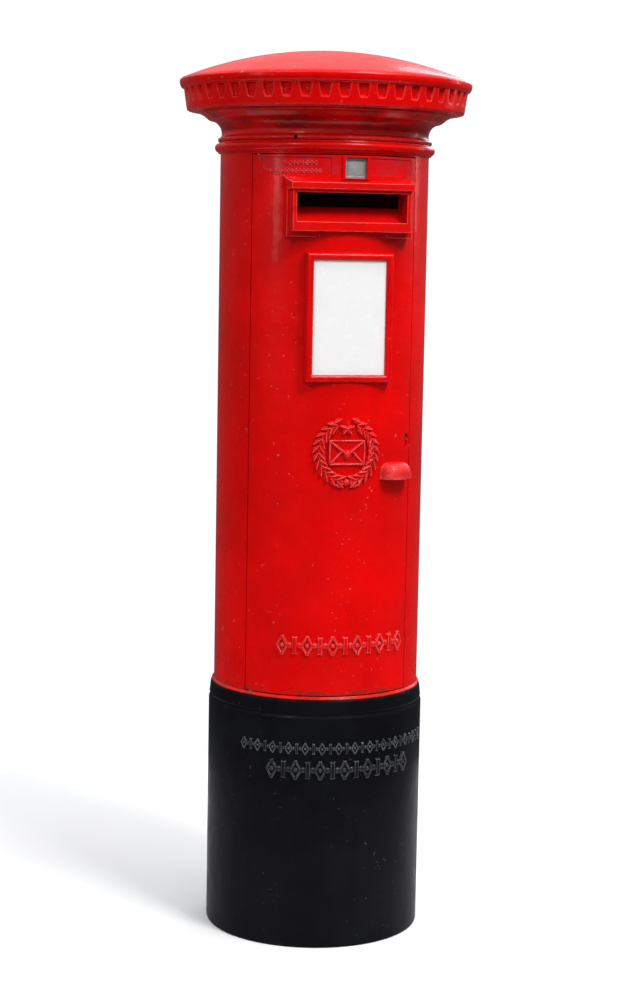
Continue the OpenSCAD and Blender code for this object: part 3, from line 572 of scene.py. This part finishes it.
def set_screws():
    """Slotted grub screws, sunk in their holes through the cap's bead."""
    neck, face = BODY_R - 0.6, BODY_R + 0.6
    middle = Vector((0, 0, CAP_Z + SET_SCREW_UP))
    bm = bmesh.new()
    for angle in SET_SCREW_ANGLES:
        across, out = directions(angle)
        shank, halves = (0, 345, BORE_R + 2, neck), [(a, a + 150, neck, face) for a in (15, 195)]
        for start, end, near, far in (shank, *halves):
            rim = circle_points(SET_SCREW_R, spread(start, end, 15))
            rows = [[bm.verts.new((across * x + out * d + middle + Vector((0, 0, up))) * MM)
                     for x, up in rim] for d in (near, far)]
            for i in range(len(rim)):
                n = (i + 1) % len(rim)
                bm.faces.new((rows[0][i], rows[0][n], rows[1][n], rows[1][i]))
            bm.faces.new(rows[0])
            bm.faces.new(rows[1][::-1])
    # Painted shade: the screws carry near-black red for the shade in their holes.
    return make_piece("grub_screws", bm, SHADED_HOLE_RED, "post", ["cap_set_screws"])


def smooth_step(t):
    """Rises smoothly from 0 to 1 while t does."""
    t = min(max(t, 0), 1)
    return t * t * (3 - 2 * t)


def flute_mask(angle, t):
    """1 inside a flute and 0 on the bars between, with softened walls and a narrowed foot."""
    share = abs((angle * FLUTES / 360 + 0.5) % 1 - 0.5)
    half = 0.17 + 0.085 * smooth_step((t - 0.3) / 0.5)
    return smooth_step((half + 0.055 - share) / 0.1)


def flute_angles():
    """Angles round the cap, crowded at the flutes' walls."""
    pitch = 360 / FLUTES
    side = [0, 0.07, 0.12, 0.145, 0.17, 0.195, 0.215, 0.235, 0.255, 0.275, 0.3, 0.33, 0.41]
    shares = sorted([-s for s in side[1:]] + side + [0.5])
    return [(i + s) * pitch for i in range(FLUTES) for s in shares]


def door():
    """Door casting: a curved panel with its windows, sunk panels beside the tab and a keyhole."""
    left, right = HINGE_ANGLE + SEAM_ANGLE, LOCK_ANGLE - SEAM_ANGLE
    windows = [(notice_low[0] + 8, notice_high[0] - 8, notice_low[2] + 8, notice_high[2] - 8),
               (surround_low[0] + 10, surround_high[0] - 10, surround_low[2] + 23, surround_low[2] + 83),
               (tab_low[0] + 5, tab_high[0] - 5, tab_low[2] + 2, tab_high[2] - 2)]
    panels = [(-50, -11, DOOR_Z1 - 36, DOOR_Z1 - 4), (9.7, 39.5, DOOR_Z1 - 34, DOOR_Z1 - 4)]
    slope_a, slope_z = 0.35, 1.1
    angles = set(spread(left, right, 1.2))
    levels = set(spread(DOOR_Z0, DOOR_Z1, 20))
    for x0, x1, low, high in windows:
        angles |= {math.degrees(math.asin(x0 / BODY_R)), math.degrees(math.asin(x1 / BODY_R))}
        levels |= {low, high}
    for a0, a1, low, high in panels:
        angles |= {a0, a0 + slope_a, a1 - slope_a, a1}
        levels |= {low, low + slope_z, high - slope_z, high}
    angles, levels = tidy_steps(angles, 0.12), tidy_steps(levels, 0.5)

    def sunk(a, z):
        return PANEL_SINK * any(a0 + slope_a * 0.9 <= a <= a1 - slope_a * 0.9 and
                         low + slope_z * 0.9 <= z <= high - slope_z * 0.9 for a0, a1, low, high in panels)

    def is_open(a, z):
        x = BODY_R * math.sin(math.radians(a))
        return any(x0 < x < x1 and low < z < high for x0, x1, low, high in windows)

    bm = bmesh.new()
    outer = [[bm.verts.new(polar(BODY_R - sunk(a, z), a, z)) for z in levels] for a in angles]
    inner = [[bm.verts.new(polar(DOOR_IN, a, z)) for z in levels] for a in angles]
    for i in range(len(angles) - 1):
        for k in range(len(levels) - 1):
            if is_open((angles[i] + angles[i + 1]) / 2, (levels[k] + levels[k + 1]) / 2):
                continue
            bm.faces.new((outer[i][k], outer[i + 1][k], outer[i + 1][k + 1], outer[i][k + 1]))
            bm.faces.new((inner[i][k], inner[i][k + 1], inner[i + 1][k + 1], inner[i + 1][k]))
    pair = {outer[i][k]: inner[i][k] for i in range(len(angles)) for k in range(len(levels))}
    rims = [e for e in bm.edges if e.is_boundary and e.verts[0] in pair and e.verts[1] in pair]
    for edge in rims:
        a, b = edge.verts
        bm.faces.new((a, b, pair[b], pair[a]))
    loose = [v for v in bm.verts if not v.link_faces]
    bmesh.ops.delete(bm, geom=loose, context="VERTS")
    piece = make_piece("door_casting", bm, DOOR_RED, "door", ["door_panel"], smooth=35)
    keyhole = [(x, up) for up, x in circle_points(6.5, range(-150, 151, 12))]
    keyhole += [(3.2, -17), (-3.2, -17)]
    cut_through(piece, keyhole, facing(curtain_low, curtain_high), (curtain_low[2] + curtain_high[2]) / 2,
                DOOR_IN - 5, BODY_R + 5)
    soft_edges(piece, 1.0)
    return piece


def tidy_steps(values, least):
    """Sorted values without near repeats."""
    kept = []
    for value in sorted(values):
        if not kept or value - kept[-1] > least:
            kept.append(value)
    return kept


def facing(node_low, node_high):
    """Angle from the front at which a node's middle lies."""
    middle = (Vector(node_low) + Vector(node_high)) / 2
    return math.degrees(math.atan2(middle.x, -middle.y))


def cut_through(piece, outline, angle, z, near, far):
    """Cuts an outline of (across, up) into a piece, square to the body at an angle."""
    across, out = directions(angle)
    bm = bmesh.new()
    rows = [[bm.verts.new((across * x + out * d + Vector((0, 0, z + up))) * MM) for x, up in outline]
            for d in (near, far)]
    count = len(outline)
    for i in range(count):
        bm.faces.new((rows[0][i], rows[0][(i + 1) % count], rows[1][(i + 1) % count], rows[1][i]))
    bm.faces.new(rows[0])
    bm.faces.new(rows[1][::-1])
    bmesh.ops.recalc_face_normals(bm, faces=bm.faces)
    mesh = bpy.data.meshes.new("cutter")
    bm.to_mesh(mesh)
    bm.free()
    cutter = bpy.data.objects.new("cutter", mesh)
    bpy.context.scene.collection.objects.link(cutter)
    boolean = piece.modifiers.new("cut", "BOOLEAN")
    boolean.operation = "DIFFERENCE"
    boolean.solver = "EXACT"
    boolean.object = cutter
    bake_modifiers(piece)
    bpy.data.objects.remove(cutter)


def slot_surround():
    """Hooded surround of the posting slot, on its stepped base."""
    x0, x1 = surround_low[0], surround_high[0]
    z0, z1 = surround_low[2], surround_high[2]
    face = BODY_R + 7.5
    step = face - 17
    slot_x, slot_z0, slot_z1 = x1 - 14, z0 + 26, z0 + 77
    bm = bmesh.new()
    for side in (-1, 1):
        lo, hi = sorted((side * slot_x, side * x1))
        add_block(bm, lo, hi, 140, step, z0, slot_z1 + 8)
        lo, hi = sorted((side * slot_x, side * (slot_x + 7)))
        add_block(bm, lo, hi, 140, face, slot_z0 - 16, slot_z1 + 9)
    add_block(bm, x0, x1, 150, step, z0, slot_z0 - 0.5)
    add_block(bm, -slot_x - 7, slot_x + 7, 160, face, slot_z0 - 16, slot_z0)
    add_block(bm, -slot_x - 7, slot_x + 7, 160, face, slot_z1, slot_z1 + 9)
    lip, top = z1 - 24, z1
    front, back = face + 7, 150
    hood = [(-x1 + 3, front, lip), (x1 - 3, front, lip), (x1 - 3, front, lip + 11),
            (-x1 + 3, front, lip + 11), (-x1 - 2, back, lip - 2), (x1 + 2, back, lip - 2),
            (x1 + 2, back, top), (-x1 - 2, back, top)]
    add_solid(bm, [Vector((x, -d, z)) * MM for x, d, z in hood],
              [(0, 1, 2, 3), (4, 7, 6, 5), (0, 4, 5, 1), (3, 2, 6, 7), (0, 3, 7, 4), (1, 5, 6, 2)])
    piece = make_piece("slot_surround", bm, WORN_RED, "door", ["aperture_surround"])
    fuse(piece, 1.0, 2)
    return piece


def mitred_frame(bm, x0, x1, z0, z1, section):
    """Sweeps a section of (outward, distance) round a rectangular opening, mitred at the corners."""
    corners = [(x0, z0, -1, -1), (x1, z0, 1, -1), (x1, z1, 1, 1), (x0, z1, -1, 1)]
    rings = [[bm.verts.new(Vector((x + sx * o, -d, z + sz * o)) * MM) for o, d in section]
             for x, z, sx, sz in corners]
    for i in range(4):
        here, there = rings[i], rings[(i + 1) % 4]
        for k in range(len(section)):
            n = (k + 1) % len(section)
            bm.faces.new((here[k], there[k], there[n], here[n]))


def notice_frame():
    """Frame round the notice, with a rolled face and mitred corners."""
    rail, behind = 13, 164
    face = BODY_R + 5.6
    roll = [(6.5 + 5.6 * x, face - 4 + 4 * y) for x, y in circle_points(1, range(180, -1, -15))]
    section = [(0, face - 6.2), (0, face - 4.5)] + roll
    section += [(rail, face - 5), (rail, behind), (5.2, behind), (5.2, face - 6.2)]
    bm = bmesh.new()
    mitred_frame(bm, notice_low[0] + rail, notice_high[0] - rail,
                 notice_low[2] + rail, notice_high[2] - rail, section)
    piece = make_piece("notice_frame_casting", bm, RED, "door", ["notice_frame"])
    soft_edges(piece, 0.8, 2)
    return piece


def pull():
    """Cup pull: a hollow quarter of a rounded form, open below for the fingers."""
    angle = facing(pull_low, pull_high)
    width, height, depth, wall = 33, pull_high[2] - pull_low[2], 30, 4

    def skin(inset, i, k, rows, cols):
        rise, sweep = math.pi / 2 * i / rows, math.pi * k / cols
        up = abs(math.sin(rise)) ** 0.7 * (height - inset)
        flat = abs(math.cos(rise)) ** 0.55
        x = -(width - inset) * flat * math.copysign(abs(math.cos(sweep)) ** 0.75, math.cos(sweep))
        out = (depth - inset) * flat * abs(math.sin(sweep)) ** 0.7
        return x, BODY_R - 3 + out, up

    rows, cols = 14, 28
    across, away = directions(angle)
    bm = bmesh.new()
    base = pull_low[2]
    skins = []
    for inset in (0, wall):
        grid = []
        for i in range(rows + 1):
            points = [skin(inset, i, k, rows, cols) for k in range(cols + 1)]
            grid.append([bm.verts.new((across * x + away * d + Vector((0, 0, base + z))) * MM)
                         for x, d, z in points])
        for i in range(rows):
            for k in range(cols):
                bm.faces.new((grid[i][k], grid[i][k + 1], grid[i + 1][k + 1], grid[i + 1][k]))
        skins.append(grid)
    for k in range(cols):
        bm.faces.new((skins[0][0][k], skins[0][0][k + 1], skins[1][0][k + 1], skins[1][0][k]))
    for i in range(rows):
        for k in (0, cols):
            bm.faces.new((skins[0][i][k], skins[0][i + 1][k], skins[1][i + 1][k], skins[1][i][k]))
    bmesh.ops.remove_doubles(bm, verts=bm.verts, dist=0.01 * MM)
    piece = make_piece("cup_pull", bm, WORN_RED, "door", ["door_pull"])
    soft_edges(piece, 1.2, 3)
    return piece


# ---------------------------------------------------------------- relief
def wrap(bm, radius, z):
    """Bends solids drawn flat, as (across, up, out), round a casting."""
    for v in bm.verts:
        across, up, out = v.co
        v.co = polar(radius + out, math.degrees(across / radius), z + up)


def add_bead(bm, x, z, size, out):
    """A rounded boss."""
    made = bmesh.ops.create_uvsphere(bm, u_segments=14, v_segments=8, radius=1)
    for v in made["verts"]:
        v.co = Vector((x + v.co.x * size, z + v.co.y * size, v.co.z * out))


def add_leaf(bm, x, z, length, width, degrees, out):
    """A pointed leaf, ridged along its middle."""
    turn = math.radians(degrees)
    along, side = Vector((math.cos(turn), math.sin(turn))), Vector((-math.sin(turn), math.cos(turn)))
    steps = 8
    ridge, low, rims = [], [], ([], [])
    for i in range(steps + 1):
        t = i / steps
        half = width / 2 * math.sin(math.pi * t) ** 0.8 + 0.15
        centre = Vector((x, z)) + along * (t - 0.5) * length
        ridge.append(bm.verts.new((*centre, out)))
        low.append(bm.verts.new((*centre, -1)))
        for rim, sign in zip(rims, (-1, 1)):
            rim.append(bm.verts.new((*(centre + side * half * sign), out * 0.35)))
    for i in range(steps):
        for rim in rims:
            bm.faces.new((ridge[i], ridge[i + 1], rim[i + 1], rim[i]))
            bm.faces.new((low[i], low[i + 1], rim[i + 1], rim[i]))
    for i in (0, steps):
        bm.faces.new((ridge[i], rims[0][i], low[i], rims[1][i]))


def add_bar(bm, x0, x1, z0, z1, out, chamfer=1.0):
    """A raised bar with sloping sides."""
    low = [(x0, z0, -1), (x1, z0, -1), (x1, z1, -1), (x0, z1, -1)]
    high = [(x0 + chamfer, z0 + chamfer, out), (x1 - chamfer, z0 + chamfer, out),
            (x1 - chamfer, z1 - chamfer, out), (x0 + chamfer, z1 - chamfer, out)]
    add_solid(bm, [Vector(p) for p in low + high], BAR_FACES)


def add_stroke(bm, points, width, out):
    """A raised line through points, as a row of overlapping short bars."""
    for (xa, za), (xb, zb) in zip(points, points[1:]):
        run = Vector((xb - xa, zb - za))
        side = Vector((-run.y, run.x)).normalized() * width / 2
        start, end = Vector((xa, za)), Vector((xb, zb))
        corners = []
        for half, level in ((side, -1), (side * 0.45, out)):
            corners += [(*p, level) for p in (start - half, end - half, end + half, start + half)]
        add_solid(bm, [Vector(p) for p in corners], BAR_FACES)


def ellipse(rx, rz, start, end, steps):
    """Points along an ellipse round the emblem's middle."""
    angles = [math.radians(start + (end - start) * i / steps) for i in range(steps + 1)]
    return [(rx * math.cos(a), rz * math.sin(a)) for a in angles]


def emblem():
    """A sealed letter between two laurel sprays, in relief."""
    middle = (emblem_low[2] + emblem_high[2]) / 2
    bm = bmesh.new()
    add_bar(bm, -31, 31, -21, 21, 3.6, 1.6)
    add_stroke(bm, [(-31, 21), (0, -4), (31, 21)], 5.5, 7)
    add_stroke(bm, [(-30, -20), (-9, 3)], 4.5, 5.6)
    add_stroke(bm, [(30, -20), (9, 3)], 4.5, 5.6)
    add_stroke(bm, [(-31, -21), (31, -21), (31, 21), (-31, 21), (-31, -21)], 4.5, 6.4)
    add_bead(bm, 0, -3, 7.5, 9)
    for side in (-1, 1):
        stem = [(side * x, z) for x, z in ellipse(50, 52, -84, 68, 22)]
        add_stroke(bm, stem, 4.2, 4.2)
        for i, (x, z) in enumerate(stem[1:-1:2]):
            degrees = math.degrees(math.atan2(z / 52, x / 50)) + side * 90
            for lean in (-1, 1):
                tilt = degrees + lean * 34 * side
                shift = Vector((x, z)) * (1 + lean * 0.105)
                add_leaf(bm, shift.x, shift.y, 19, 9.5, tilt, 7.0)
        add_leaf(bm, side * 17, 56, 19, 9.5, 90 + side * 62, 7.0)
        add_stroke(bm, [(side * 3, -52), (side * 12, -61), (side * 20, -58)], 5, 5)
    add_bead(bm, 0, -53, 7, 8)
    for i in range(5):
        a = math.radians(90 + 72 * i)
        add_leaf(bm, 6.5 * math.cos(a), 43 + 6.5 * math.sin(a), 16, 8, 90 + 72 * i, 7)
    add_bead(bm, 0, 43, 4, 8)
    wrap(bm, BODY_R, middle)
    piece = make_piece("emblem_relief", bm, WORN_RED, "door", ["emblem_badge"])
    fuse(piece, 0.7, 2)
    return piece


def frieze_band(name, radius, z0, height, start, end, groups, material, body, out=3.2, voxel=0.8):
    """A raised band between two angles: lozenges that alternate with a bar between two beads."""
    length = math.radians(end - start) * radius
    first = math.radians(start) * radius
    pitch = length / groups
    stroke = height * 0.2
    bm = bmesh.new()
    for i in range(groups):
        x = first + (i + 0.5) * pitch
        reach = min(height * 0.42, pitch * 0.42)
        if i % 2:
            add_bar(bm, x - stroke * 0.8, x + stroke * 0.8, -height / 2, height / 2, out, stroke * 0.3)
            add_bead(bm, x - reach, 0, stroke * 0.85, out)
            add_bead(bm, x + reach, 0, stroke * 0.85, out)
        else:
            lozenge = [(x, -height / 2), (x + reach, 0), (x, height / 2), (x - reach, 0), (x, -height / 2)]
            add_stroke(bm, lozenge, stroke, out)
            add_bead(bm, x, 0, stroke * 0.7, out)
    wrap(bm, radius, z0 + height / 2)
    piece = make_piece(name, bm, material, body, ())
    fuse(piece, voxel, 2)
    return piece


# ---------------------------------------------------------------- stage
def area_light(name, place, target, size, power, color=(1, 1, 1), size_y=None):
    data = bpy.data.lights.new(name, "AREA")
    data.shape = "RECTANGLE"
    data.size = size
    data.size_y = size_y or size
    data.energy = power
    data.color = color
    light = bpy.data.objects.new(name, data)
    light.location = place
    light.rotation_mode = "QUATERNION"
    light.rotation_quaternion = (Vector(target) - Vector(place)).to_track_quat("-Z", "Y")
    bpy.context.scene.collection.objects.link(light)


def stage():
    """Pale floor and backdrop, soft sky light and a few large soft boxes."""
    scene = bpy.context.scene
    scene.view_settings.view_transform = "Standard"
    scene.view_settings.look = "None"
    world = bpy.data.worlds.new("studio")
    scene.world = world
    world.use_nodes = True
    tree = world.node_tree
    background = tree.nodes["Background"]
    coords = tree.nodes.new("ShaderNodeTexCoord")
    split = tree.nodes.new("ShaderNodeSeparateXYZ")
    rise = tree.nodes.new("ShaderNodeMapRange")
    for i, number in enumerate((-0.02, 0.8, 0.1, 1.1)):
        rise.inputs[i + 1].default_value = number
    path = tree.nodes.new("ShaderNodeLightPath")
    mix = tree.nodes.new("ShaderNodeMix")
    mix.inputs[3].default_value = 1.08
    tree.links.new(coords.outputs["Generated"], split.inputs[0])
    tree.links.new(split.outputs[2], rise.inputs[0])
    tree.links.new(path.outputs["Is Camera Ray"], mix.inputs[0])
    tree.links.new(rise.outputs[0], mix.inputs[2])
    tree.links.new(mix.outputs[0], background.inputs["Strength"])
    background.inputs["Color"].default_value = (0.97, 0.98, 1.0, 1)
    mesh = bpy.data.meshes.new("floor")
    bm = bmesh.new()
    bmesh.ops.create_circle(bm, cap_ends=True, segments=96, radius=1.25)
    bm.to_mesh(mesh)
    bm.free()
    floor = bpy.data.objects.new("floor", mesh)
    bpy.context.scene.collection.objects.link(floor)
    s = Shader("floor_pale")
    s.link(s.mix(s.noise(3.0), (0.8, 0.8, 0.8), (0.84, 0.84, 0.84)), s.bsdf.inputs["Base Color"])
    s.set(Roughness=0.9)
    mesh.materials.append(s.material)
    area_light("sky", (0.9, -0.9, 4.2), (0, 0, 0.9), 1.4, 50)
    area_light("key", (1.4, -3.0, 4.4), (0, 0, 0.8), 1.2, 150)
    area_light("left_window", (-2.6, -1.15, 1.6), (0, 0, 0.9), 0.3, 3.6, size_y=0.7)
    area_light("left_fill", (-3.0, -3.0, 3.4), (0, 0, 0.8), 0.8, 40)
    area_light("back_sky", (3.9, 4.8, 3.8), (0, 0, 1.6), 3.2, 95, (0.8, 0.9, 1.0), size_y=3.0)
    area_light("right_rim", (2.9, 0.75, 1.9), (0, 0, 1.3), 0.2, 4, size_y=1.2)


def camera():
    """The photograph's view: a little left of the door's front and above, looking slightly down."""
    distance, height = 3.871, 1.273
    turn, pitch, roll = math.radians(-14.8), math.radians(7.01), math.radians(1.05)
    data = bpy.data.cameras.new("camera")
    data.lens = 75.2
    data.sensor_width = 36
    cam = bpy.data.objects.new("camera", data)
    cam.location = (distance * math.sin(turn), -distance * math.cos(turn), height)
    swing = math.radians(0.12)
    forward = Vector((-math.sin(turn + swing), math.cos(turn + swing), 0))
    aim = forward * math.cos(pitch) + Vector((0, 0, -math.sin(pitch)))
    cam.rotation_mode = "QUATERNION"
    cam.rotation_quaternion = aim.to_track_quat("-Z", "Y") @ Quaternion((0, 0, 1), roll)
    bpy.context.scene.collection.objects.link(cam)
    bpy.context.scene.camera = cam


dress_cad_nodes()
plinth()
body()
cap()
set_screws()
door()
slot_surround()
notice_frame()
pull()
emblem()
frieze_band("door_frieze", BODY_R, BODY_Z + 81, 34, -36.5, 39, 11,
            WORN_RED, "door", 4.2)
# The plinth's bands wear black paint with a painted highlight on their edges.
frieze_band("plinth_frieze_upper", BODY_R + PLINTH_PROUD, plinth_high[2] - 99, 21, -56, 61, 27,
            WORN_GLINT_BLACK, "post", 3.0)
frieze_band("plinth_frieze_lower", BODY_R + PLINTH_PROUD, plinth_high[2] - 145, 34, -40, 43, 13,
            WORN_GLINT_BLACK, "post", 3.6)
frieze_band("panel_frieze_upper", BODY_R - PANEL_SINK, DOOR_Z1 - 18, 8.5, -39, -18, 9,
            WORN_RED, "door", 1.7, 0.5)
frieze_band("panel_frieze_lower", BODY_R - PANEL_SINK, DOOR_Z1 - 32, 8, -48, -16, 15,
            WORN_RED, "door", 1.7, 0.5)
stage()
camera()
